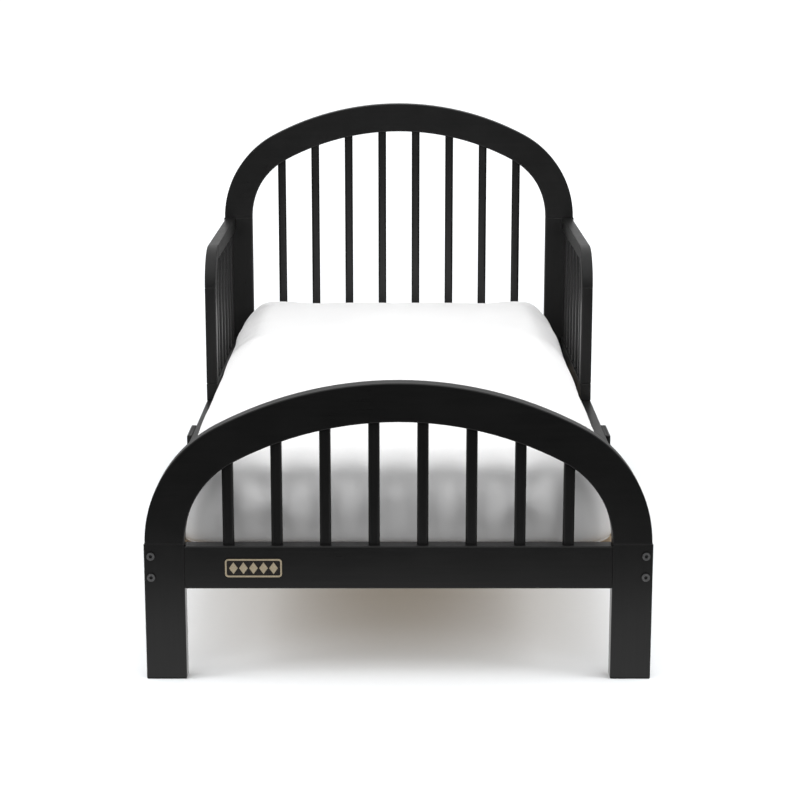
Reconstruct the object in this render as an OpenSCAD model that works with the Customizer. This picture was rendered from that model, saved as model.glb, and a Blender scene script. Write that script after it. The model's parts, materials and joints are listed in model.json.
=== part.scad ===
// Toddler bed with arched head and foot panels, guard rails beside the head end and a slatted deck.
// Millimetres, +Z up, +Y towards the headboard. The origin is on the floor under the bed's middle.
// Left is -X and right is +X, as seen from the foot end.

/* [Overall] */
// Width over the legs of the head and foot panels
bed_w = 752; // [748:1:772]
// Length over the outer faces of the head and foot panels
bed_l = 1368; // [1366:1:1390]

/* [Head and foot panels] */
// Thickness of the panels' boards
panel_t = 25; // [22:1:30]
// Width of each leg and post
post_w = 60; // [50:1:70]
// Height of the footboard's legs, where its arch begins
foot_leg_h = 210; // [207:1:230]
// Height of the headboard's posts, where its arch begins
head_post_h = 508; // [508:1:560]
// Step of the arch's 8-15-17 triangle: a larger one gives tighter corners and a lower arch
arch_step = 21.8; // [21:0.1:22.4]
// Width of the arch's band
band_w = 58.5; // [50:0.5:60]
// Step from the post's outer edge to the arch's outer edge
arch_inset = 1.5; // [0:0.5:3]
// Underside of the cross rail
rail_z = 141.5; // [120:0.5:145]
// Height of the cross rail
rail_h = 65.5; // [50:0.5:67.5]

/* [Panel spindles] */
// Spindles in each panel
spindle_count = 8; // [4:2:8]
// Distance between spindle centers
spindle_pitch = 71.75; // [60:0.25:74]
// Spindle width, along the panel
spindle_w = 17; // [14:0.5:20]
// Spindle depth, through the panel
spindle_d = 12.5; // [10:0.5:16]
// Radius of the spindle's long edges
spindle_r = 4.5; // [2:0.5:5]

/* [Side rails] */
// Thickness of a side rail
side_t = 21; // [18:0.5:24]
// Height of a side rail
side_h = 72; // [70:0.5:80]
// Step from the panel's outer edge in to the side rail's outer face
side_inset = 3.5; // [2:0.5:5]

/* [Center legs] */
// Length of a center leg's block along the side rail
center_leg_w = 78; // [60:1:90]
// How far the block stands out from the side rail
center_leg_proud = 9; // [9:0.5:12]
// Place of the center legs along the bed
center_leg_y = -25; // [-60:1:40]

/* [Guard rails] */
// Distance from the headboard's front face to the guard's front edge
guard_l = 455; // [440:1:480]
// Width of the guard's post and top rail
guard_band = 26; // [24:0.5:28]
// Outer radius of the guard's front corner
guard_corner_r = 72.5; // [60:0.5:72.5]
// Height of the guard's bottom rail
guard_bottom_h = 34; // [30:0.5:40]
// Spindles in each guard
guard_spindle_count = 6; // [4:1:6]
// Depth of a guard spindle, through the guard
guard_spindle_d = 16.5; // [12:0.5:18]

/* [Slatted deck] */
// Number of slats
slat_count = 12; // [8:1:12]
// Width of a slat
slat_w = 95; // [60:1:95]
// Thickness of a slat
slat_t = 12; // [10:0.5:15]
// Height of the deck's upper face
deck_z = 183; // [180:0.5:190]
// Gap from each panel to the nearest slat
slat_margin = 10; // [6:0.5:20]
// Height and depth of the strips that carry the slats
ledger_size = 20; // [20:0.5:24]

/* [Mattress] */
// Mattress width
mattress_w = 692; // [680:1:694]
// Mattress length
mattress_l = 1311; // [1290:1:1314]
// Mattress thickness
mattress_t = 145; // [100:1:152]
// Radius of the mattress's upright corners
mattress_corner_r = 70; // [40:1:100]
// Sideways place of the mattress between the side rails
mattress_x = -3.5; // [-3.5:0.5:3.5]

/* [Hardware] */
// Height of the lower bolt of each pair
bolt_low_z = 159.5; // [158:0.5:162]
// Height of the upper bolt of each pair
bolt_high_z = 192; // [188:0.5:194]
// Place of the bolts outward from the bed's middle
bolt_x = 365.5; // [362:0.5:365.5]
// Plaque width
badge_w = 84; // [60:1:100]
// Plaque height
badge_h = 28; // [20:1:34]
// Plaque's place, sideways
badge_x = -214; // [-250:1:250]

/* [Hidden] */
$fn = 96;
half_l = bed_l / 2;
inner_l = half_l - panel_t;
outer_x = bed_w / 2;
side_x = outer_x - side_inset - side_t;
clear_w = 2 * side_x;
rail_top = rail_z + rail_h;
side_z = rail_z;
side_top = side_z + side_h;

// Arch: a flat crown arc that meets a corner arc on each side at a tangent. The crown's center, a
// corner's center and the point midway between the posts are the corners of an 8-15-17 triangle,
// and the line through the two centers is where the arcs meet.
corner_cx = 8 * arch_step;
crown_cz = -15 * arch_step;
corner_r = outer_x - arch_inset - corner_cx;
crown_r = corner_r + 17 * arch_step;
joint_x = (crown_r - band_w) * 8 / 17;
// A point on that line, well outside the arch
joint_far = [8 * 50, crown_cz + 15 * 50];

// Mortises hold the ends of the spindles, with a little room round them and beyond their ends
fit = 0.15;
mortise = 10;
end_gap = 1.5;

guard_y = inner_l - guard_l;
guard_top = head_post_h - 0.5;
guard_mid_x = side_x + side_t / 2;
guard_floor_z = side_top + guard_bottom_h;
guard_gap = (guard_l - guard_band - guard_spindle_count * spindle_w) / (guard_spindle_count + 1);

slat_pitch = (2 * inner_l - 2 * slat_margin - slat_w) / (slat_count - 1);
slat_play = 1;
ledger_end = 47;
ledger_z = deck_z - slat_t - ledger_size;
mattress_lift_gap = 0.3;

// Bolts with a flat round head and a hexagon socket, in barrel nuts
bolt_r = 3;
bolt_l = 66;
bolt_head_r = 6;
bolt_head_h = 3;
socket_r = 2.9;
socket_depth = 2;
bolt_hole_r = 3.3;
nut_r = 5;
nut_l = 12;
nut_thread_r = 3.1;
nut_setback = 33;
bolt_hole_l = bolt_l - panel_t + 2;
guard_bolt_low_z = side_top + guard_bottom_h / 2;
guard_bolt_high_z = guard_top - guard_band / 2;

// Wood screws and dowels
screw_r = 2;
screw_l = 28;
screw_head_r = 4;
screw_head_h = 2.5;
screw_fit = 0.1;
guard_screw_r = 3;
guard_screw_head_r = 5.5;
guard_screw_head_h = 4;
guard_screw_well = 40;
guard_screw_bite = 24;
guard_screw_ys = [guard_y + 45, guard_y + 296];
leg_screw_z = side_top - 14;
leg_screw_l = 27;
ledger_screw_ys = [-560, -190, 190, 560];
dowel_r = 4;
dowel_l = 40;
rail_dowel_zs = [rail_z + 16, rail_top - 20];

black = [0.11, 0.11, 0.11];
steel = [0.3, 0.3, 0.31];
pine = [0.86, 0.72, 0.53];
white = [0.95, 0.95, 0.95];
bronze = [0.52, 0.46, 0.36];

spindle_ids = [1 : spindle_count];
slat_ids = [1 : slat_count];

function spindle_x(i) = (i - (spindle_count + 1) / 2) * spindle_pitch;
function slat_y(i) = -inner_l + slat_margin + slat_w / 2 + (i - 1) * slat_pitch;
function guard_spindle_y(i) = guard_y + guard_band + (i - 0.5) * spindle_w + i * guard_gap;

// Height of the arch's inner edge above its posts, at a distance x from the middle
function arch_inner_z(x) = x < joint_x
    ? crown_cz + sqrt(pow(crown_r - band_w, 2) - x * x)
    : sqrt(pow(corner_r - band_w, 2) - pow(x - corner_cx, 2));
function spindle_top(x, seam_z) = seam_z + arch_inner_z(abs(x) - spindle_w / 2) + mortise - end_gap;

// Helpers

module on_side(side) {
    mirror([side < 0 ? 1 : 0, 0, 0]) children();
}

// Rectangle about the origin, with true arcs at its corners
module rounded(w, d, r) {
    square([w - 2 * r, d], center = true);
    square([w, d - 2 * r], center = true);
    for (sx = [-1, 1], sy = [-1, 1])
        translate([sx * (w / 2 - r), sy * (d / 2 - r)]) circle(r);
}

// Cylinder from a point along +X or +Y
module rod_x(r, l) {
    rotate([0, 90, 0]) cylinder(r = r, h = l);
}

module rod_y(r, l) {
    rotate([-90, 0, 0]) cylinder(r = r, h = l);
}

module ring(r, band) {
    difference() {
        circle(r);
        circle(r - band);
    }
}

// Head and foot panels: back_y is a panel's face towards +Y

module arch_outline() {
    intersection() {
        translate([0, crown_cz]) ring(crown_r, band_w);
        polygon([[0, crown_cz], joint_far, [-joint_far[0], joint_far[1]]]);
    }
    for (side = [-1, 1])
        on_side(side) intersection() {
            translate([corner_cx, 0]) ring(corner_r, band_w);
            polygon([[corner_cx, 0], joint_far, [bed_w, 0]]);
        }
}

module arch(seam_z, back_y) {
    difference() {
        translate([0, back_y, seam_z]) rotate([90, 0, 0]) linear_extrude(panel_t) arch_outline();
        for (i = spindle_ids)
            arch_mortise(spindle_x(i), seam_z, back_y);
        for (side = [-1, 1])
            translate([side * (outer_x - post_w / 2), back_y - panel_t / 2, seam_z]) dowel_hole();
    }
}

module arch_mortise(x, seam_z, back_y) {
    low = seam_z + arch_inner_z(abs(x) + spindle_w / 2) - mortise;
    high = spindle_top(x, seam_z) + end_gap;
    translate([x, back_y - panel_t / 2, low]) linear_extrude(high - low)
        rounded(spindle_w + 2 * fit, spindle_d + 2 * fit, spindle_r + fit);
}

module panel_spindle(i, seam_z, back_y) {
    low = rail_top - mortise;
    translate([spindle_x(i), back_y - panel_t / 2, low])
        linear_extrude(spindle_top(spindle_x(i), seam_z) - low)
            rounded(spindle_w, spindle_d, spindle_r);
}

module panel_rail(back_y) {
    inner_x = outer_x - post_w;
    difference() {
        translate([-inner_x, back_y - panel_t, rail_z]) cube([2 * inner_x, panel_t, rail_h]);
        for (i = spindle_ids)
            translate([spindle_x(i), back_y - panel_t / 2, rail_top - mortise])
                linear_extrude(2 * mortise)
                    rounded(spindle_w + 2 * fit, spindle_d + 2 * fit, spindle_r + fit);
        for (side = [-1, 1], z = rail_dowel_zs)
            translate([side * inner_x, back_y - panel_t / 2, z]) rotate([0, 90, 0]) dowel_hole();
    }
}

// A post on the right-hand side, with a pair of bolt holes for the side rail
module post(height, back_y) {
    difference() {
        translate([outer_x - post_w, back_y - panel_t, 0]) cube([post_w, panel_t, height]);
        for (z = [bolt_low_z, bolt_high_z])
            translate([bolt_x, back_y - 2 * panel_t, z]) rod_y(bolt_hole_r, 3 * panel_t);
        for (z = rail_dowel_zs)
            translate([outer_x - post_w, back_y - panel_t / 2, z]) rotate([0, 90, 0]) dowel_hole();
        translate([outer_x - post_w / 2, back_y - panel_t / 2, height]) dowel_hole();
    }
}

module headboard_post(side) {
    color(black) on_side(side) difference() {
        post(head_post_h, half_l);
        for (z = [guard_bolt_low_z, guard_bolt_high_z])
            translate([guard_mid_x, inner_l - panel_t, z]) rod_y(bolt_hole_r, 3 * panel_t);
    }
}

module footboard_leg(side) {
    color(black) on_side(side) post(foot_leg_h, -inner_l);
}

module headboard_arch() {
    color(black) arch(head_post_h, half_l);
}

module footboard_arch() {
    color(black) arch(foot_leg_h, -inner_l);
}

module headboard_rail() {
    color(black) panel_rail(half_l);
}

module footboard_rail() {
    color(black) panel_rail(-inner_l);
}

module headboard_spindle(i) {
    color(black) panel_spindle(i, head_post_h, half_l);
}

module footboard_spindle(i) {
    color(black) panel_spindle(i, foot_leg_h, -inner_l);
}

// Side rails and what hangs on them

module side_rail(side) {
    color(black) on_side(side) difference() {
        translate([side_x, -inner_l, side_z]) cube([side_t, 2 * inner_l, side_h]);
        for (end = [0, 1], z = [bolt_low_z, bolt_high_z]) mirror([0, end, 0]) {
            translate([bolt_x, -inner_l - 1, z]) rod_y(bolt_hole_r, bolt_hole_l + 1);
            translate([side_x - 1, nut_setback - inner_l, z])
                rod_x(nut_r + fit, bolt_x + nut_l / 2 - side_x + 1);
        }
        for (y = guard_screw_ys)
            translate([guard_mid_x, y, side_z - 1]) {
                cylinder(r = guard_screw_head_r + fit, h = guard_screw_well + 1);
                cylinder(r = guard_screw_r + screw_fit, h = 2 * side_h);
            }
        for (y = ledger_screw_ys)
            translate([side_x - 1, y, ledger_z + ledger_size / 2])
                rod_x(screw_r + screw_fit, screw_l - ledger_size + 2);
        for (dy = [-1, 1])
            translate([side_x, center_leg_y + dy * center_leg_w / 4, leg_screw_z]) screw_hole();
    }
}

module slat_ledger(side) {
    color(pine) on_side(side) difference() {
        translate([side_x - ledger_size, ledger_end - inner_l, ledger_z])
            cube([ledger_size, 2 * (inner_l - ledger_end), ledger_size]);
        for (i = slat_ids)
            translate([side_x - ledger_size / 2, slat_screw_y(i), deck_z - screw_l - 1])
                cylinder(r = screw_r + screw_fit, h = 2 * ledger_size);
        for (y = ledger_screw_ys)
            translate([side_x - ledger_size, y, ledger_z + ledger_size / 2]) screw_hole();
    }
}

// The first and last slats overhang the strips, so their screws sit towards the bed's middle
function slat_screw_y(i) = slat_y(i) - sign(slat_y(i)) * slat_w / 5;

module slat(i) {
    color(pine) difference() {
        translate([slat_play - side_x, slat_y(i) - slat_w / 2, deck_z - slat_t])
            cube([clear_w - 2 * slat_play, slat_w, slat_t]);
        for (side = [-1, 1])
            translate([side * (side_x - ledger_size / 2), slat_screw_y(i), deck_z]) {
                translate([0, 0, -screw_head_h])
                    cylinder(r = screw_head_r + screw_fit, h = screw_head_h + 1);
                translate([0, 0, -2 * slat_t])
                    cylinder(r = screw_r + screw_fit, h = 2 * slat_t);
            }
    }
}

// The leg's block wraps the side rail's outer face, and the leg below it carries the rail
module center_leg(side) {
    color(black) on_side(side) difference() {
        translate([side_x, center_leg_y - center_leg_w / 2, 0])
            cube([side_t + center_leg_proud, center_leg_w, side_top]);
        translate([side_x - 1, center_leg_y - center_leg_w, side_z])
            cube([side_t + 1, 2 * center_leg_w, side_h + 1]);
        for (dy = [-1, 1])
            translate([side_x, center_leg_y + dy * center_leg_w / 4, leg_screw_z]) screw_hole();
    }
}

// Guard rails

module guard_board(y0, y1, z0, z1) {
    translate([side_x, y0, z0]) cube([side_t, y1 - y0, z1 - z0]);
}

module guard_spindle(i) {
    low = guard_floor_z - mortise;
    translate([guard_mid_x, guard_spindle_y(i), low])
        linear_extrude(guard_top - guard_band + mortise - end_gap - low)
            rounded(guard_spindle_d, spindle_w, spindle_r);
}

module guard_mortise(i, z) {
    translate([guard_mid_x, guard_spindle_y(i), z - mortise]) linear_extrude(2 * mortise)
        rounded(guard_spindle_d + 2 * fit, spindle_w + 2 * fit, spindle_r + fit);
}

// Bolt and barrel-nut holes in the headboard end of a guard's rail
module guard_bolt_hole(z) {
    translate([guard_mid_x, inner_l - bolt_hole_l, z]) rod_y(bolt_hole_r, bolt_hole_l + 1);
    translate([side_x - 1, inner_l - nut_setback, z]) rod_x(nut_r + fit, side_t / 2 + nut_l / 2 + 1);
}

module guard_top_rail(side) {
    color(black) on_side(side) difference() {
        guard_board(guard_y + guard_corner_r, inner_l, guard_top - guard_band, guard_top);
        for (i = [1 : guard_spindle_count]) guard_mortise(i, guard_top - guard_band);
        guard_bolt_hole(guard_bolt_high_z);
    }
}

module guard_corner(side) {
    color(black) on_side(side)
        translate([side_x, guard_y + guard_corner_r, guard_top - guard_corner_r])
            rotate([90, 0, 90]) linear_extrude(side_t) intersection() {
                ring(guard_corner_r, guard_band);
                translate([-guard_corner_r, 0]) square(guard_corner_r);
            }
}

module guard_post(side) {
    color(black) on_side(side)
        guard_board(guard_y, guard_y + guard_band, guard_floor_z, guard_top - guard_corner_r);
}

module guard_bottom_rail(side) {
    color(black) on_side(side) difference() {
        guard_board(guard_y, inner_l, side_top, guard_floor_z);
        for (i = [1 : guard_spindle_count]) guard_mortise(i, guard_floor_z);
        guard_bolt_hole(guard_bolt_low_z);
        for (y = guard_screw_ys)
            translate([guard_mid_x, y, side_top - 1])
                cylinder(r = guard_screw_r + screw_fit, h = guard_screw_bite + 2);
    }
}

module guard_spindles(side) {
    color(black) on_side(side)
        for (i = [1 : guard_spindle_count]) guard_spindle(i);
}

// Mattress and plaque

module mattress() {
    color(white) translate([mattress_x, 0, deck_z + mattress_lift_gap])
        linear_extrude(mattress_t) rounded(mattress_w, mattress_l, mattress_corner_r);
}

// A plate with a raised rim and a row of raised lozenges
module badge() {
    plate_t = 1.2;
    rim_t = 2.2;
    rim_w = 2.5;
    badge_r = 5;
    lozenges = 5;
    pitch = (badge_w - 4 * rim_w) / lozenges;
    half_w = pitch / 2 - 1;
    half_h = badge_h / 2 - 2 * rim_w;
    color(bronze) translate([badge_x, -half_l, rail_z + rail_h / 2]) rotate([90, 0, 0]) {
        linear_extrude(plate_t)
            rounded(badge_w - 2 * rim_w, badge_h - 2 * rim_w, badge_r - rim_w);
        linear_extrude(rim_t) difference() {
            rounded(badge_w, badge_h, badge_r);
            rounded(badge_w - 2 * rim_w, badge_h - 2 * rim_w, badge_r - rim_w);
        }
        for (i = [1 : lozenges])
            translate([(i - (lozenges + 1) / 2) * pitch, 0]) linear_extrude(rim_t)
                polygon([[half_w, 0], [0, half_h], [-half_w, 0], [0, -half_h]]);
    }
}

// Fasteners

// Bolt from the foot end's outer face, pointing along +Y
module bolt() {
    difference() {
        translate([0, -bolt_head_h, 0]) rod_y(bolt_head_r, bolt_head_h);
        translate([0, -bolt_head_h - 1, 0]) rotate([-90, 0, 0])
            cylinder(r = socket_r, h = socket_depth + 1, $fn = 6);
    }
    rod_y(bolt_r, bolt_l);
}

module each_end_bolt() {
    for (side = [-1, 1], end = [0, 1], z = [bolt_low_z, bolt_high_z])
        on_side(side) mirror([0, end, 0]) translate([bolt_x, -half_l, z]) children();
    for (side = [-1, 1], z = [guard_bolt_low_z, guard_bolt_high_z])
        on_side(side) mirror([0, 1, 0]) translate([guard_mid_x, -half_l, z]) children();
}

module end_bolts() {
    color(steel) each_end_bolt() bolt();
}

module barrel_nuts() {
    color(steel) each_end_bolt() translate([0, panel_t + nut_setback, 0]) difference() {
        translate([-nut_l / 2, 0, 0]) rod_x(nut_r, nut_l);
        translate([0, -2 * nut_r, 0]) rod_y(nut_thread_r, 4 * nut_r);
    }
}

module guard_screws() {
    color(steel) for (side = [-1, 1], y = guard_screw_ys)
        on_side(side) translate([guard_mid_x, y, side_z + guard_screw_well]) {
            translate([0, 0, -guard_screw_head_h])
                cylinder(r = guard_screw_head_r, h = guard_screw_head_h);
            cylinder(r = guard_screw_r, h = side_h - guard_screw_well + guard_screw_bite);
        }
}

// Flat-headed screw pointing along +X, with its head flush at x = 0
module screw(l) {
    rod_x(screw_head_r, screw_head_h);
    rod_x(screw_r, l);
}

// Counterbored hole for that screw
module screw_hole() {
    translate([-1, 0, 0]) rod_x(screw_head_r + screw_fit, screw_head_h + 1);
    rod_x(screw_r + screw_fit, leg_screw_l + 1);
}

module center_leg_screws() {
    color(steel) for (side = [-1, 1], dy = [-1, 1])
        on_side(side)
            translate([side_x, center_leg_y + dy * center_leg_w / 4, leg_screw_z])
                screw(leg_screw_l);
}

module deck_screws() {
    color(steel) for (side = [-1, 1]) on_side(side) {
        for (y = ledger_screw_ys)
            translate([side_x - ledger_size, y, ledger_z + ledger_size / 2]) screw(screw_l);
        for (i = slat_ids)
            translate([side_x - ledger_size / 2, slat_screw_y(i), deck_z])
                rotate([0, 90, 0]) screw(screw_l);
    }
}

// Hole for one dowel, along Z about the joint's face
module dowel_hole() {
    translate([0, 0, -dowel_l / 2 - 1]) cylinder(r = dowel_r + screw_fit, h = dowel_l + 2);
}

module panel_dowels() {
    color(pine) for (side = [-1, 1]) on_side(side) {
        for (back_y = [-inner_l, half_l], z = rail_dowel_zs)
            translate([outer_x - post_w - dowel_l / 2, back_y - panel_t / 2, z])
                rod_x(dowel_r, dowel_l);
        for (place = [[-inner_l, foot_leg_h], [half_l, head_post_h]])
            translate([outer_x - post_w / 2, place[0] - panel_t / 2, place[1] - dowel_l / 2])
                cylinder(r = dowel_r, h = dowel_l);
    }
}

headboard_arch();
headboard_post(-1);  // headboard_post_left
headboard_post(1);  // headboard_post_right
headboard_rail();
for (i = spindle_ids) headboard_spindle(i);
footboard_arch();
footboard_leg(-1);  // footboard_leg_left
footboard_leg(1);  // footboard_leg_right
footboard_rail();
for (i = spindle_ids) footboard_spindle(i);
side_rail(-1);  // side_rail_left
side_rail(1);  // side_rail_right
slat_ledger(-1);  // slat_ledger_left
slat_ledger(1);  // slat_ledger_right
center_leg(-1);  // center_leg_left
center_leg(1);  // center_leg_right
guard_top_rail(-1);  // guard_left_top_rail
guard_corner(-1);  // guard_left_corner
guard_post(-1);  // guard_left_post
guard_bottom_rail(-1);  // guard_left_bottom_rail
guard_spindles(-1);  // guard_left_spindles
guard_top_rail(1);  // guard_right_top_rail
guard_corner(1);  // guard_right_corner
guard_post(1);  // guard_right_post
guard_bottom_rail(1);  // guard_right_bottom_rail
guard_spindles(1);  // guard_right_spindles
for (i = slat_ids) slat(i);
mattress();
badge();
end_bolts();
barrel_nuts();
guard_screws();
center_leg_screws();
deck_screws();
panel_dowels();
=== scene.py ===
import json
import math

import bmesh
import bpy
from mathutils import Euler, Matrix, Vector, noise
from mathutils.bvhtree import BVHTree


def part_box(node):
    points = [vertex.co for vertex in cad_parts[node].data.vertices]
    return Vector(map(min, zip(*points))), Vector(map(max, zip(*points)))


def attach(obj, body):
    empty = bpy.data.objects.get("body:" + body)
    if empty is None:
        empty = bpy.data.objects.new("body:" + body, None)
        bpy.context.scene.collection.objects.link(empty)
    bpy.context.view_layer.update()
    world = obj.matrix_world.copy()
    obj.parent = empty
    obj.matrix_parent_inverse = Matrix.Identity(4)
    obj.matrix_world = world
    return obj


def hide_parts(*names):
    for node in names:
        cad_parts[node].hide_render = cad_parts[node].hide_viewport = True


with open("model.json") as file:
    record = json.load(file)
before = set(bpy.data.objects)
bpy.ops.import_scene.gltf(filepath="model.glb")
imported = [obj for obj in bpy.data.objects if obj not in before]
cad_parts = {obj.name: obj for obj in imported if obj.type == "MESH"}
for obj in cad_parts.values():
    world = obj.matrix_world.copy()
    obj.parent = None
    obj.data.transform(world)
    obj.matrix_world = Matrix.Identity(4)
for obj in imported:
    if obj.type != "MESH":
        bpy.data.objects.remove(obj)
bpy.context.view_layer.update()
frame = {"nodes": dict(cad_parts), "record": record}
nodes = frame["nodes"]

# Metres throughout. +Z is up and +Y runs from the foot end to the headboard.

MM = 0.001

# Camera
CAMERA_PLACE = (0.0023, -3.3034, 1.0605)
CAMERA_DOWN = math.radians(11.336)
CAMERA_LENS = 83.56
CAMERA_SHIFT_Y = -0.09
SENSOR = 36

# Eased edges
EDGE_PAINTED = 2.0 * MM
EDGE_PINE = 1.2 * MM
EDGE_METAL = 0.35 * MM
EDGE_STEPS = 3
SEAM_SHARE = 0.6
SHARP = math.radians(35)
FLAT = math.radians(0.4)
WELD = 0.01 * MM

# Where boards meet, by a part of the node's name: (axis, end) of the node's box, end 0 or 1
SEAMS = {
    "arch": [(2, 0)],
    "headboard_post": [(2, 1)],
    "footboard_leg": [(2, 1)],
    "board_rail": [(0, 0), (0, 1)],
    "side_rail": [(1, 0), (1, 1)],
    "top_rail": [(1, 0), (1, 1)],
    "corner": [(1, 1), (2, 0)],
    "left_post": [(2, 0), (2, 1)],
    "right_post": [(2, 0), (2, 1)],
    "bottom_rail": [(1, 1), (2, 0)],
}

# Mattress: the block before the simulation
CORNER = 76 * MM
FRONT_ROUND = 24 * MM
SIDE_ROUND = 68 * MM
BOTTOM_ROUND = 10 * MM
ROUND_STEPS = 8
START_INSET = 5 * MM
TOP_INSET = 2 * MM
VOXEL = 6 * MM
# Mattress: the simulation and what follows it
PRESSURE = 4
FRAMES = 20
MOST_SWELL = 9 * MM
MOST_RISE = 6 * MM
TAUT_PASSES = 24
WAVE = 2.2 * MM
RIPPLE = 0.7 * MM
# Mattress: the welt
WELT_RADIUS = 2.2 * MM
WELT_HEIGHT = 12 * MM
WELT_SUNK = 0.3
WELT_CORNER_STEPS = 10
WELT_END_STEPS = 24
WELT_SIDE_STEPS = 40
WELT_SECTION_STEPS = 10

# Colours, linear
BLACK_DEEP = (0.0056, 0.0056, 0.0057)
BLACK_LIGHT = (0.0076, 0.0076, 0.0075)
# painted highlight colour for the black paint's edges
BLACK_EDGE_HIGHLIGHT = (0.011, 0.0108, 0.0106)
PINE_WARM = (0.68, 0.53, 0.35)
PINE_PALE = (0.78, 0.64, 0.46)
PINE_LATEWOOD = (0.52, 0.35, 0.19)
PINE_FIBRE = (0.45, 0.30, 0.17)
PINE_KNOT = (0.20, 0.095, 0.04)
STEEL_DARK = (0.12, 0.12, 0.122)
STEEL_LIGHT = (0.24, 0.24, 0.243)
# painted shade inside the bolt heads' sockets
STEEL_SOCKET_SHADE = (0.04, 0.04, 0.04)
BRONZE_DULL = (0.55, 0.46, 0.31)
BRONZE_BRIGHT = (0.74, 0.64, 0.47)
PATINA_DARK = (0.018, 0.018, 0.022)
PATINA_LIGHT = (0.060, 0.052, 0.044)
COTTON = (0.68, 0.68, 0.682)
COTTON_WELT = (0.70, 0.70, 0.70)
FLOOR_DARK = (0.845, 0.865, 0.885)
FLOOR_LIGHT = (0.865, 0.885, 0.905)

# Surface relief
# width of the painted highlight along the black paint's edges
EDGE_HIGHLIGHT_WIDTH = 1.6 * MM
PAINT_RELIEF = 0.12 * MM
PINE_RELIEF = 0.12 * MM
STEEL_RELIEF = 0.05 * MM
BRONZE_RELIEF = 0.06 * MM
COTTON_RELIEF = 1.0 * MM
COVER_THREAD = 0.9 * MM
WELT_THREAD = 0.6 * MM

# Studio
FLOOR_REACH = 14
FLOOR_CUTS = 7
FLOOR_WHITENS = (1.3, 4.0)
FLOOR_ADDED_WHITE = 0.45
WHITE_TO_CAMERA = 1.1


# Materials


def material(name):
    """A new material and the parts of it that every recipe needs."""
    made = bpy.data.materials.new(name)
    made.use_nodes = True
    tree = made.node_tree
    shader = tree.nodes["Principled BSDF"]
    return made, tree, shader


def add(tree, kind, **values):
    """A node with its properties set; a name that isn't a property is an input socket."""
    made = tree.nodes.new(kind)
    for key, value in values.items():
        if hasattr(made, key):
            setattr(made, key, value)
        else:
            made.inputs[key.replace("_", " ")].default_value = value
    return made


def coordinates(tree, scale):
    """Object coordinates, which are the bed's own metres, stretched by scale."""
    place = add(tree, "ShaderNodeTexCoord")
    stretch = add(tree, "ShaderNodeMapping")
    stretch.inputs["Scale"].default_value = scale
    tree.links.new(place.outputs["Object"], stretch.inputs["Vector"])
    return stretch.outputs["Vector"]


def coordinate_parts(tree):
    """Object coordinates taken apart; the outputs are X, Y and Z."""
    place = add(tree, "ShaderNodeTexCoord")
    apart = add(tree, "ShaderNodeSeparateXYZ")
    tree.links.new(place.outputs["Object"], apart.inputs["Vector"])
    return apart.outputs


def noise_of(tree, scale, size, detail=3.0, rough=0.5, distortion=0.0):
    """Soft noise between 0 and 1."""
    made = add(tree, "ShaderNodeTexNoise", Scale=size, Detail=detail, Roughness=rough, Distortion=distortion)
    tree.links.new(coordinates(tree, scale), made.inputs["Vector"])
    return made.outputs["Fac"]


def ranged(tree, source, low, high, out_low, out_high):
    """A number carried from one range to another and held at its ends."""
    made = add(tree, "ShaderNodeMapRange")
    for key, value in (("From Min", low), ("From Max", high), ("To Min", out_low), ("To Max", out_high)):
        made.inputs[key].default_value = value
    tree.links.new(source, made.inputs["Value"])
    return made.outputs["Result"]


def maths(tree, operation, a, b=0.0):
    """One sum; a and b are numbers or other nodes' outputs."""
    made = add(tree, "ShaderNodeMath", operation=operation)
    for k, value in enumerate((a, b)):
        if isinstance(value, float):
            made.inputs[k].default_value = value
        else:
            tree.links.new(value, made.inputs[k])
    return made.outputs["Value"]


def blended(tree, factor, a, b):
    """A number between a and b; each is a number or another node's output."""
    made = add(tree, "ShaderNodeMix", data_type="FLOAT")
    for socket, value in zip((made.inputs[0], made.inputs[2], made.inputs[3]), (factor, a, b)):
        if isinstance(value, float):
            socket.default_value = value
        else:
            tree.links.new(value, socket)
    return made.outputs[0]


def mixed(tree, factor, a, b):
    """A colour between a and b; each is a colour or another node's output."""
    made = add(tree, "ShaderNodeMix", data_type="RGBA")
    tree.links.new(factor, made.inputs["Factor"])
    for key, value in (("A", a), ("B", b)):
        socket = next(s for s in made.inputs if s.name == key and s.type == "RGBA")
        if isinstance(value, tuple):
            socket.default_value = (*value, 1)
        else:
            tree.links.new(value, socket)
    return next(s for s in made.outputs if s.type == "RGBA")


def bumped(tree, shader, height, distance, strength=1.0):
    made = add(tree, "ShaderNodeBump", Strength=strength, Distance=distance)
    tree.links.new(height, made.inputs["Height"])
    tree.links.new(made.outputs["Normal"], shader.inputs["Normal"])


def along(axis, short, long):
    """A texture scale that is fine across the grain and slow along it."""
    return tuple(long if k == axis else short for k in range(3))


def edge_mask(tree, radius):
    """1 on convex and concave edges and 0 on open faces, from the rounded normal against the true one."""
    rounded = add(tree, "ShaderNodeBevel", samples=4, Radius=radius)
    true = add(tree, "ShaderNodeNewGeometry")
    dot = add(tree, "ShaderNodeVectorMath", operation="DOT_PRODUCT")
    tree.links.new(rounded.outputs["Normal"], dot.inputs[0])
    tree.links.new(true.outputs["Normal"], dot.inputs[1])
    return ranged(tree, dot.outputs["Value"], 0.995, 0.90, 0.0, 1.0)


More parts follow.
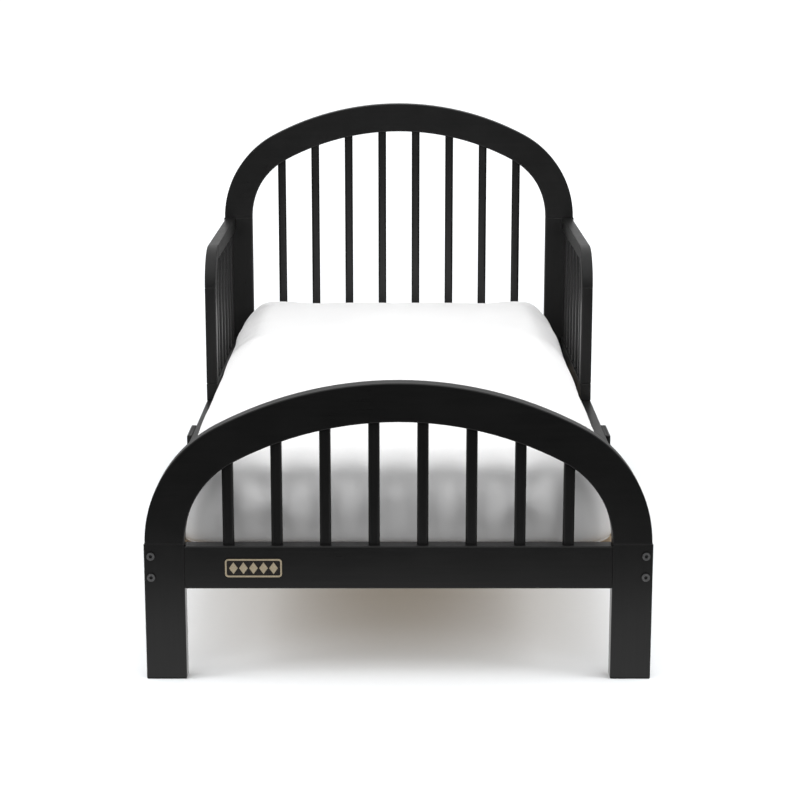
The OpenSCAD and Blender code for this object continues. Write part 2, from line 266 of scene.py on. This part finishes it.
def black_paint(axis):
    """Satin black paint over wood, whose grain runs along an axis and shows faintly through; a lighter
    colour along its edges is a painted highlight.
    """
    made, tree, shader = material("black_paint_" + "xyz"[axis])
    grain = noise_of(tree, along(axis, 260, 7), 1.0, 5.0, 0.62)
    pores = noise_of(tree, along(axis, 900, 40), 1.0, 2.0, 0.5)
    orange_peel = noise_of(tree, (1, 1, 1), 420, 2.0)
    cloud = noise_of(tree, (1, 1, 1), 14, 3.0)
    colour = mixed(tree, ranged(tree, grain, 0.35, 0.7, 0.0, 1.0), BLACK_DEEP, BLACK_LIGHT)
    # painted highlight: a lighter colour on convex and concave edges, patchy with the cloud noise
    edge_highlight = maths(tree, "MULTIPLY", edge_mask(tree, EDGE_HIGHLIGHT_WIDTH), ranged(tree, cloud, 0.45, 0.75, 0.1, 0.8))
    tree.links.new(mixed(tree, edge_highlight, colour, BLACK_EDGE_HIGHLIGHT), shader.inputs["Base Color"])
    patches = ranged(tree, cloud, 0.3, 0.7, 0.30, 0.36)
    specks = ranged(tree, pores, 0.3, 0.7, -0.03, 0.03)
    tree.links.new(maths(tree, "ADD", patches, specks), shader.inputs["Roughness"])
    shader.inputs["IOR"].default_value = 1.45
    height = maths(tree, "ADD", maths(tree, "MULTIPLY", grain, 0.7), maths(tree, "MULTIPLY", pores, 0.25))
    height = maths(tree, "ADD", height, maths(tree, "MULTIPLY", orange_peel, 0.25))
    bumped(tree, shader, height, PAINT_RELIEF, 0.55)
    return made


def bare_pine(axis):
    """Planed pine: wide pale earlywood, narrow darker latewood lines, pores and a few knots."""
    made, tree, shader = material("pine_" + "xyz"[axis])
    warp = noise_of(tree, along(axis, 9, 1.6), 1.0, 3.0, 0.5)
    rings = add(
        tree, "ShaderNodeTexWave", wave_type="RINGS", rings_direction="XYZ"[axis], wave_profile="SAW",
        Scale=5.0, Distortion=3.2, Detail=2.0, Detail_Scale=1.2, Detail_Roughness=0.55,
    )
    tree.links.new(coordinates(tree, along(axis, 9.0, 0.9)), rings.inputs["Vector"])
    late = ranged(tree, rings.outputs["Fac"], 0.55, 0.98, 0.0, 0.75)
    fibre = noise_of(tree, along(axis, 700, 14), 1.0, 3.0, 0.6)
    base = mixed(tree, ranged(tree, warp, 0.3, 0.7, 0.0, 1.0), PINE_WARM, PINE_PALE)
    base = mixed(tree, late, base, PINE_LATEWOOD)
    base = mixed(tree, ranged(tree, fibre, 0.42, 0.75, 0.0, 0.35), base, PINE_FIBRE)
    knots = add(tree, "ShaderNodeTexVoronoi", Scale=1.0)
    tree.links.new(coordinates(tree, along(axis, 9.5, 3.2)), knots.inputs["Vector"])
    knot = ranged(tree, knots.outputs["Distance"], 0.05, 0.085, 1.0, 0.0)
    tree.links.new(mixed(tree, knot, base, PINE_KNOT), shader.inputs["Base Color"])
    tree.links.new(ranged(tree, fibre, 0.3, 0.7, 0.52, 0.68), shader.inputs["Roughness"])
    height = maths(tree, "ADD", fibre, maths(tree, "MULTIPLY", late, 0.5))
    bumped(tree, shader, height, PINE_RELIEF, 0.6)
    return made


def dark_steel(name, face_y=None):
    """Black-oxide steel with fine turning marks; bolt heads whose face is at face_y get painted shade in
    their socket.
    """
    made, tree, shader = material(name)
    spots = noise_of(tree, (1, 1, 1), 900, 4.0, 0.6)
    turning = noise_of(tree, (1400, 60, 1400), 1.0, 2.0)
    colour = mixed(tree, ranged(tree, spots, 0.35, 0.7, 0.0, 1.0), STEEL_DARK, STEEL_LIGHT)
    # painted shade: the socket below the head's face is darkened, as shade falls in the recess
    if face_y:
        out = maths(tree, "ABSOLUTE", coordinate_parts(tree)["Y"])
        raised = ranged(tree, out, face_y - 1.5 * MM, face_y - 0.5 * MM, 0.0, 1.0)
        colour = mixed(tree, raised, STEEL_SOCKET_SHADE, colour)
    tree.links.new(colour, shader.inputs["Base Color"])
    tree.links.new(ranged(tree, spots, 0.3, 0.7, 0.36, 0.5), shader.inputs["Roughness"])
    shader.inputs["Metallic"].default_value = 0.85
    bumped(tree, shader, turning, STEEL_RELIEF, 0.5)
    return made


def aged_bronze(field_y, rim_y):
    """Bronze that is rubbed bright where it is raised and dark with patina in the recessed field."""
    made, tree, shader = material("aged_bronze")
    raised = ranged(tree, coordinate_parts(tree)["Y"], field_y, rim_y, 0.0, 1.0)
    speckle = noise_of(tree, (1, 1, 1), 700, 4.0, 0.6)
    brushed = noise_of(tree, (40, 900, 900), 1.0, 3.0)
    bright = mixed(tree, ranged(tree, speckle, 0.3, 0.7, 0.0, 1.0), BRONZE_DULL, BRONZE_BRIGHT)
    patina = mixed(tree, ranged(tree, speckle, 0.35, 0.65, 0.0, 1.0), PATINA_DARK, PATINA_LIGHT)
    tree.links.new(mixed(tree, raised, patina, bright), shader.inputs["Base Color"])
    tree.links.new(ranged(tree, brushed, 0.3, 0.7, 0.34, 0.52), shader.inputs["Roughness"])
    shader.inputs["Metallic"].default_value = 0.75
    bumped(tree, shader, maths(tree, "ADD", brushed, speckle), BRONZE_RELIEF, 0.5)
    return made


def weave(tree, spacing):
    """Height of a plain weave: threads one way and the other that pass over and under each other."""
    turns = 2 * math.pi / spacing
    parts = coordinate_parts(tree)
    waves = [maths(tree, "SINE", maths(tree, "MULTIPLY", parts[axis], turns)) for axis in "XYZ"]
    return maths(tree, "MULTIPLY", maths(tree, "ADD", waves[0], waves[2]), waves[1])


def white_cotton(name, tint, spacing):
    """White woven cover with slubs, soft creases and a little fuzz."""
    made, tree, shader = material(name)
    slub = noise_of(tree, (1, 1, 1), 260, 3.0, 0.6)
    crease = noise_of(tree, (2.1, 1.0, 2.6), 7, 3.0, 0.45, 0.6)
    cloud = noise_of(tree, (1, 1, 1), 5, 3.0)
    light = tuple(min(1.0, c * 1.025) for c in tint)
    dark = tuple(c * 0.965 for c in tint)
    colour = mixed(tree, ranged(tree, cloud, 0.3, 0.7, 0.0, 1.0), dark, light)
    tree.links.new(colour, shader.inputs["Base Color"])
    tree.links.new(ranged(tree, slub, 0.3, 0.7, 0.78, 0.92), shader.inputs["Roughness"])
    shader.inputs["Specular IOR Level"].default_value = 0.25
    shader.inputs["Sheen Weight"].default_value = 0.25
    shader.inputs["Sheen Roughness"].default_value = 0.55
    thread = maths(tree, "MULTIPLY", weave(tree, spacing), 0.06)
    height = maths(tree, "ADD", thread, maths(tree, "MULTIPLY", slub, 0.12))
    height = maths(tree, "ADD", height, crease)
    bumped(tree, shader, height, COTTON_RELIEF, 0.5)
    return made


def floor_white():
    """A pale floor that whitens away from the bed, so that it meets the white background unseen."""
    made, tree, shader = material("studio_floor")
    grain = noise_of(tree, (1, 1, 1), 60, 3.0)
    tree.links.new(mixed(tree, grain, FLOOR_DARK, FLOOR_LIGHT), shader.inputs["Base Color"])
    shader.inputs["Roughness"].default_value = 0.9
    shader.inputs["Specular IOR Level"].default_value = 0.1
    place = add(tree, "ShaderNodeTexCoord")
    far = add(tree, "ShaderNodeVectorMath", operation="LENGTH")
    tree.links.new(place.outputs["Object"], far.inputs[0])
    shader.inputs["Emission Color"].default_value = (1, 1, 1, 1)
    added = ranged(tree, far.outputs["Value"], *FLOOR_WHITENS, 0.0, FLOOR_ADDED_WHITE)
    tree.links.new(added, shader.inputs["Emission Strength"])
    return made


# Frame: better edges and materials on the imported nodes


def compare(tree, a, b, within):
    """1 where a number is within a distance of b."""
    made = add(tree, "ShaderNodeMath", operation="COMPARE")
    tree.links.new(a, made.inputs[0])
    made.inputs[1].default_value = b
    made.inputs[2].default_value = within
    return made.outputs["Value"]


def arrises(name, face_axis, seams):
    """Geometry nodes that mark which edges of a node the bevel eases, as bevel weights.

    An arris lies on two sides of the node's box, or on a side across face_axis for a curved board.
    At its seams, given as in SEAMS, a board meets the next one and its edge is eased less.
    Mortises, dowel holes and screw holes keep their sharp mouths.
    """
    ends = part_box(name)
    tree = bpy.data.node_groups.new("arrises_" + name, "GeometryNodeTree")
    for way in ("INPUT", "OUTPUT"):
        tree.interface.new_socket("Geometry", in_out=way, socket_type="NodeSocketGeometry")
    start = add(tree, "NodeGroupInput")
    stop = add(tree, "NodeGroupOutput")
    place = add(tree, "GeometryNodeInputPosition")
    apart = add(tree, "ShaderNodeSeparateXYZ")
    tree.links.new(place.outputs[0], apart.inputs[0])
    on = {
        (axis, end): compare(tree, apart.outputs[axis], ends[end][axis], WELD)
        for axis in range(3) for end in (0, 1)
    }
    sides = [maths(tree, "MAXIMUM", on[axis, 0], on[axis, 1]) for axis in range(3)]
    count = maths(tree, "ADD", maths(tree, "ADD", sides[0], sides[1]), sides[2])
    edge = maths(tree, "GREATER_THAN", count, 1.5)
    if face_axis is not None:
        edge = maths(tree, "MAXIMUM", edge, sides[face_axis])
    angle = add(tree, "GeometryNodeInputMeshEdgeAngle")
    sharp = maths(tree, "GREATER_THAN", angle.outputs["Unsigned Angle"], SHARP)
    eased = maths(tree, "MULTIPLY", edge, sharp)
    weight = eased
    for seam in seams:
        weight = maths(tree, "MULTIPLY", weight, ranged(tree, on[seam], 0.0, 1.0, 1.0, SEAM_SHARE))
    store = add(tree, "GeometryNodeStoreNamedAttribute", data_type="FLOAT", domain="EDGE")
    store.inputs["Name"].default_value = "bevel_weight_edge"
    tree.links.new(weight, store.inputs["Value"])
    faces = add(tree, "GeometryNodeSetShadeSmooth", domain="FACE")
    edges = add(tree, "GeometryNodeSetShadeSmooth", domain="EDGE")
    kept = maths(tree, "SUBTRACT", sharp, eased)
    tree.links.new(maths(tree, "LESS_THAN", kept, 0.5), edges.inputs["Shade Smooth"])
    for a, b in ((start, faces), (faces, edges), (edges, store), (store, stop)):
        tree.links.new(a.outputs[0], b.inputs[0])
    return tree


def ease(obj, width, tree=None):
    """Rounds a node's sharp edges, or those that a tree of arrises marks, without touching its mesh."""
    weld = obj.modifiers.new("weld", "WELD")
    weld.merge_threshold = WELD
    bevel_by = "ANGLE"
    if tree:
        flat = obj.modifiers.new("flat", "DECIMATE")
        flat.decimate_type = "DISSOLVE"
        flat.angle_limit = FLAT
        marks = obj.modifiers.new("arrises", "NODES")
        marks.node_group = tree
        bevel_by = "WEIGHT"
    bevel = obj.modifiers.new("ease", "BEVEL")
    bevel.width = width
    bevel.segments = EDGE_STEPS
    bevel.limit_method = bevel_by
    bevel.angle_limit = SHARP
    bevel.use_clamp_overlap = not tree
    normals = obj.modifiers.new("normals", "WEIGHTED_NORMAL")
    normals.weight = 90
    normals.keep_sharp = bool(tree)


def seams_of(name):
    return next((seams for part, seams in SEAMS.items() if part in name), [])


def dress(name, made):
    obj = nodes[name]
    obj.data.materials.clear()
    obj.data.materials.append(made)
    return obj


def grain_axis(name):
    """The axis that a board is longest along."""
    low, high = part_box(name)
    spans = list(high - low)
    return spans.index(max(spans))


def dress_frame():
    """Paints every node but the mattress, and eases all of them but the spindles and the panel dowels."""
    slots = {part["node"]: part["material_slot"] for part in frame["record"]["subparts"]}
    painted = [black_paint(axis) for axis in range(3)]
    pine = [bare_pine(axis) for axis in range(3)]
    steel = dark_steel("dark_steel")
    bolt_steel_shaded_socket = dark_steel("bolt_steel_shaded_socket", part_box("end_bolts")[1].y)
    low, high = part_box("badge")
    bronze = aged_bronze(high.y - 1.3 * MM, low.y + 0.3 * MM)
    for name, slot in slots.items():
        if slot == "black_painted_wood":
            # a guard's spindles stand upright, though the group is longest along the bed
            upright = "spindle" in name
            obj = dress(name, painted[2 if upright else grain_axis(name)])
            if not upright:
                face_axis = {"arch": 1, "corner": 0}.get(name.split("_")[-1])
                ease(obj, EDGE_PAINTED, arrises(name, face_axis, seams_of(name)))
        elif slot == "pine":
            obj = dress(name, pine[grain_axis(name)])
            if name != "panel_dowels":
                ease(obj, EDGE_PINE, arrises(name, None, []))
        elif slot == "dark_steel":
            ease(dress(name, bolt_steel_shaded_socket if name == "end_bolts" else steel), EDGE_METAL)
        elif slot == "badge_metal":
            ease(dress(name, bronze), EDGE_METAL)


# Mattress


def rounded_box(low, high, corner, steps):
    """Closed block with upright corners; its upper edge is rounder along the sides than at the ends."""
    made = bmesh.new()
    turns = [math.pi / 2 * k / steps for k in range(steps + 1)]
    levels = [(BOTTOM_ROUND, BOTTOM_ROUND, t, low.z, 1) for t in turns]
    levels += [(FRONT_ROUND, SIDE_ROUND, t, high.z, -1) for t in reversed(turns)]
    loops = []
    for end_round, side_round, t, base, up in levels:
        loop = []
        for quarter in range(4):
            sx = (1, -1, -1, 1)[quarter]
            sy = (1, 1, -1, -1)[quarter]
            cx = (high.x if sx > 0 else low.x) - sx * corner
            cy = (high.y if sy > 0 else low.y) - sy * corner
            for step in turns:
                turn = step + quarter * math.pi / 2
                edge = end_round + (side_round - end_round) * math.cos(turn) ** 2
                r = corner - edge * (1 - math.sin(t))
                z = base + up * edge * (1 - math.cos(t))
                loop.append(made.verts.new((cx + r * math.cos(turn), cy + r * math.sin(turn), z)))
        loops.append(loop)
    count = len(loops[0])
    for a, b in zip(loops, loops[1:]):
        for k in range(count):
            made.faces.new((a[k], a[(k + 1) % count], b[(k + 1) % count], b[k]))
    made.faces.new(list(reversed(loops[0])))
    made.faces.new(loops[-1])
    return made


def apply_modifiers(obj):
    """Turns an object's modifiers into its mesh."""
    graph = bpy.context.evaluated_depsgraph_get()
    mesh = bpy.data.meshes.new_from_object(obj.evaluated_get(graph))
    obj.modifiers.clear()
    obj.data = mesh


def new_object(name, mesh_source, made):
    mesh = bpy.data.meshes.new(name)
    mesh_source.to_mesh(mesh)
    mesh_source.free()
    obj = bpy.data.objects.new(name, mesh)
    bpy.context.scene.collection.objects.link(obj)
    obj.data.materials.append(made)
    return obj


def swell(obj):
    """Pressure on a cloth skin crowns the faces; a point moves no further than MOST_SWELL."""
    start = [v.co.copy() for v in obj.data.vertices]
    cloth = obj.modifiers.new("cloth", "CLOTH")
    settings = cloth.settings
    settings.use_pressure = True
    settings.uniform_pressure_force = PRESSURE
    settings.effector_weights.gravity = 0
    settings.quality = 5
    settings.mass = 0.3
    settings.tension_stiffness = 18
    settings.compression_stiffness = 18
    settings.shear_stiffness = 8
    settings.bending_stiffness = 2.5
    for number in range(1, FRAMES + 1):
        bpy.context.scene.frame_set(number)
    apply_modifiers(obj)
    for v, before in zip(obj.data.vertices, start):
        moved = v.co - before
        if moved.length > MOST_SWELL:
            v.co = before + moved * (MOST_SWELL / moved.length)
    bpy.context.scene.frame_set(1)
    taut = obj.modifiers.new("taut", "SMOOTH")
    taut.factor = 0.5
    taut.iterations = TAUT_PASSES
    apply_modifiers(obj)


def settle(obj, low, high):
    """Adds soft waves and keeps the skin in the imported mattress's space, up to MOST_RISE above it."""
    middle = (low + high) / 2
    for v in obj.data.vertices:
        co = v.co
        top = max(0.0, min(1.0, (co.z - low.z) / (high.z - low.z)))
        side = (co.x - middle.x) / (high.x - low.x) * 2
        wave = noise.noise(Vector((co.x * 3.0, co.y * 6.5, co.z * 7))) * WAVE
        ripple = noise.noise(Vector((co.x * 11, co.y * 17, 5 + co.z * 15))) * RIPPLE
        pull = (wave + ripple) * top
        co.x += pull * side
        co.z += pull * 0.35 * top
        co.x = max(low.x, min(high.x, co.x))
        co.y = max(low.y, min(high.y, co.y))
        co.z = max(low.z, min(high.z + MOST_RISE, co.z))


def smooth_faces(obj):
    for face in obj.data.polygons:
        face.use_smooth = True


def subdivide(obj):
    made = obj.modifiers.new("subdivide", "SUBSURF")
    made.levels = 1
    made.render_levels = 1
    apply_modifiers(obj)
    smooth_faces(obj)


def welt_path(low, high, z):
    """Points round the mattress's box at a height, each with the direction that faces out."""
    path = []
    corners = [(1, 1), (-1, 1), (-1, -1), (1, -1)]
    for quarter, (sx, sy) in enumerate(corners):
        cx = (high.x if sx > 0 else low.x) - sx * CORNER
        cy = (high.y if sy > 0 else low.y) - sy * CORNER
        for k in range(WELT_CORNER_STEPS + 1):
            turn = (quarter + k / WELT_CORNER_STEPS) * math.pi / 2
            out = Vector((math.cos(turn), math.sin(turn), 0))
            path.append((Vector((cx, cy, z)) + CORNER * out, out))
        # the straight stretch to the next corner
        start, out = path[-1]
        at_end = quarter % 2 == 0
        ahead = Vector((-sx, 0, 0)) if at_end else Vector((0, -sy, 0))
        span = (high.x - low.x if at_end else high.y - low.y) - 2 * CORNER
        steps = WELT_END_STEPS if at_end else WELT_SIDE_STEPS
        path += [(start + ahead * (span * k / steps), out) for k in range(1, steps)]
    return path


def piping(name, pad, path, radius, made):
    """A welt of round section along a path, laid on the pad's skin."""
    skin = BVHTree.FromPolygons([v.co for v in pad.data.vertices], [p.vertices for p in pad.data.polygons])
    laid = []
    for point, out in path:
        hit = skin.ray_cast(point + out * 3 * radius, -out)[0]
        laid.append((hit or point) - out * WELT_SUNK * radius)
    mesh = bmesh.new()
    rings = []
    count = len(laid)
    up = Vector((0, 0, 1))
    for k, point in enumerate(laid):
        tangent = (laid[(k + 1) % count] - laid[k - 1]).normalized()
        out = tangent.cross(up)
        ring = []
        for step in range(WELT_SECTION_STEPS):
            turn = 2 * math.pi * step / WELT_SECTION_STEPS
            ring.append(mesh.verts.new(point + radius * (out * math.cos(turn) + up * math.sin(turn))))
        rings.append(ring)
    for k in range(count):
        a, b = rings[k], rings[(k + 1) % count]
        for step in range(WELT_SECTION_STEPS):
            after = (step + 1) % WELT_SECTION_STEPS
            mesh.faces.new((a[step], b[step], b[after], a[after]))
    bmesh.ops.recalc_face_normals(mesh, faces=mesh.faces)
    obj = new_object(name, mesh, made)
    smooth_faces(obj)
    return obj


def build_mattress():
    cover = white_cotton("mattress_cover", COTTON, COVER_THREAD)
    welt = white_cotton("mattress_welt", COTTON_WELT, WELT_THREAD)
    low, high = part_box("mattress")
    start_low = low + Vector((START_INSET, START_INSET, START_INSET))
    start_high = high - Vector((START_INSET, START_INSET, TOP_INSET))
    block = rounded_box(start_low, start_high, CORNER - START_INSET, ROUND_STEPS)
    obj = new_object("mattress_pad", block, cover)
    remesh = obj.modifiers.new("remesh", "REMESH")
    remesh.mode = "VOXEL"
    remesh.voxel_size = VOXEL * 1
    apply_modifiers(obj)
    swell(obj)
    settle(obj, low, high)
    subdivide(obj)
    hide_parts("mattress")
    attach(obj, "mattress")
    piece = piping("mattress_welt_lower", obj, welt_path(low, high, low.z + WELT_HEIGHT), WELT_RADIUS, welt)
    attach(piece, "mattress")


# Studio


def build_floor():
    """It neither lights nor reflects in the bed: the world's lower half and floor_glow stand in for it."""
    mesh = bmesh.new()
    corners = ((-1, -1), (1, -1), (1, 1), (-1, 1))
    mesh.faces.new([mesh.verts.new((sx * FLOOR_REACH, sy * FLOOR_REACH, 0)) for sx, sy in corners])
    bmesh.ops.subdivide_edges(mesh, edges=mesh.edges, cuts=FLOOR_CUTS, use_grid_fill=True)
    floor = new_object("studio_floor", mesh, floor_white())
    floor.visible_glossy = False
    floor.visible_diffuse = False


def build_world():
    """White to the eye, an even soft light for matt surfaces, and a room for gloss that is bright above."""
    world = bpy.data.worlds.new("studio")
    bpy.context.scene.world = world
    world.use_nodes = True
    tree = world.node_tree
    tree.nodes.clear()
    path = add(tree, "ShaderNodeLightPath")
    place = add(tree, "ShaderNodeTexCoord")
    apart = add(tree, "ShaderNodeSeparateXYZ")
    tree.links.new(place.outputs["Generated"], apart.inputs["Vector"])
    ahead, up = apart.outputs["Y"], apart.outputs["Z"]
    low_sky = ranged(tree, up, -0.02, 0.12, 0.0, 0.40)
    high_sky = ranged(tree, up, 0.15, 0.85, 0.0, 0.60)
    back = ranged(tree, ahead, 0.25, 0.95, 0.0, 0.48)
    back = maths(tree, "MULTIPLY", back, ranged(tree, up, -0.25, 0.05, 0.35, 1.0))
    gloss = maths(tree, "ADD", maths(tree, "MAXIMUM", low_sky, back), high_sky)
    soft = ranged(tree, up, 0.0, 0.7, 0.60, 1.0)
    soft = maths(tree, "MULTIPLY", soft, ranged(tree, ahead, -0.85, 0.0, 0.68, 1.0))
    soft = maths(tree, "MULTIPLY", soft, ranged(tree, up, -0.05, 0.0, 0.60, 1.0))
    level = blended(tree, path.outputs["Is Glossy Ray"], soft, gloss)
    final = blended(tree, path.outputs["Is Camera Ray"], level, WHITE_TO_CAMERA)
    shade = add(tree, "ShaderNodeBackground")
    out = add(tree, "ShaderNodeOutputWorld")
    shade.inputs["Color"].default_value = (1, 1, 1, 1)
    tree.links.new(final, shade.inputs["Strength"])
    tree.links.new(shade.outputs["Background"], out.inputs["Surface"])


def area_light(name, place, aim, size, power, gloss=False, matt=True):
    """A soft box, which lights gloss, matt surfaces or both."""
    light = bpy.data.lights.new(name, "AREA")
    light.shape = "RECTANGLE"
    light.size, light.size_y = size
    light.energy = power
    obj = bpy.data.objects.new(name, light)
    obj.location = place
    obj.rotation_euler = (Vector(aim) - Vector(place)).to_track_quat("-Z", "Y").to_euler()
    obj.visible_glossy = gloss
    obj.visible_diffuse = matt
    obj.visible_camera = False
    bpy.context.scene.collection.objects.link(obj)


def build_lights():
    area_light("floor_glow", (0, -0.15, 0.001), (0, -0.15, 1), (1.5, 1.9), power=7.5, gloss=True, matt=False)
    area_light("overhead", (0, 0.2, 3.2), (0, 0, 0.3), (3.2, 3.2), power=42)
    for name, side in (("left", -1), ("right", 1)):
        area_light("box_" + name, (side * 2.8, -1.0, 1.6), (0, -0.3, 0.1), (1.6, 1.2), power=52)
        area_light("front_" + name, (side * 1.9, -3.0, 1.5), (0, -0.5, 0.1), (1.9, 1.2), power=20)


def build_camera():
    data = bpy.data.cameras.new("camera")
    data.sensor_width = SENSOR
    data.lens = CAMERA_LENS
    data.shift_y = CAMERA_SHIFT_Y
    camera = bpy.data.objects.new("camera", data)
    camera.location = CAMERA_PLACE
    camera.rotation_euler = Euler((math.pi / 2 - CAMERA_DOWN, 0, 0))
    bpy.context.scene.collection.objects.link(camera)
    bpy.context.scene.camera = camera


def set_colour_management():
    view = bpy.context.scene.view_settings
    view.view_transform = "Standard"
    view.look = "None"


build_camera()
set_colour_management()
build_world()
build_lights()
build_floor()
dress_frame()
build_mattress()

bpy.context.view_layer.update()
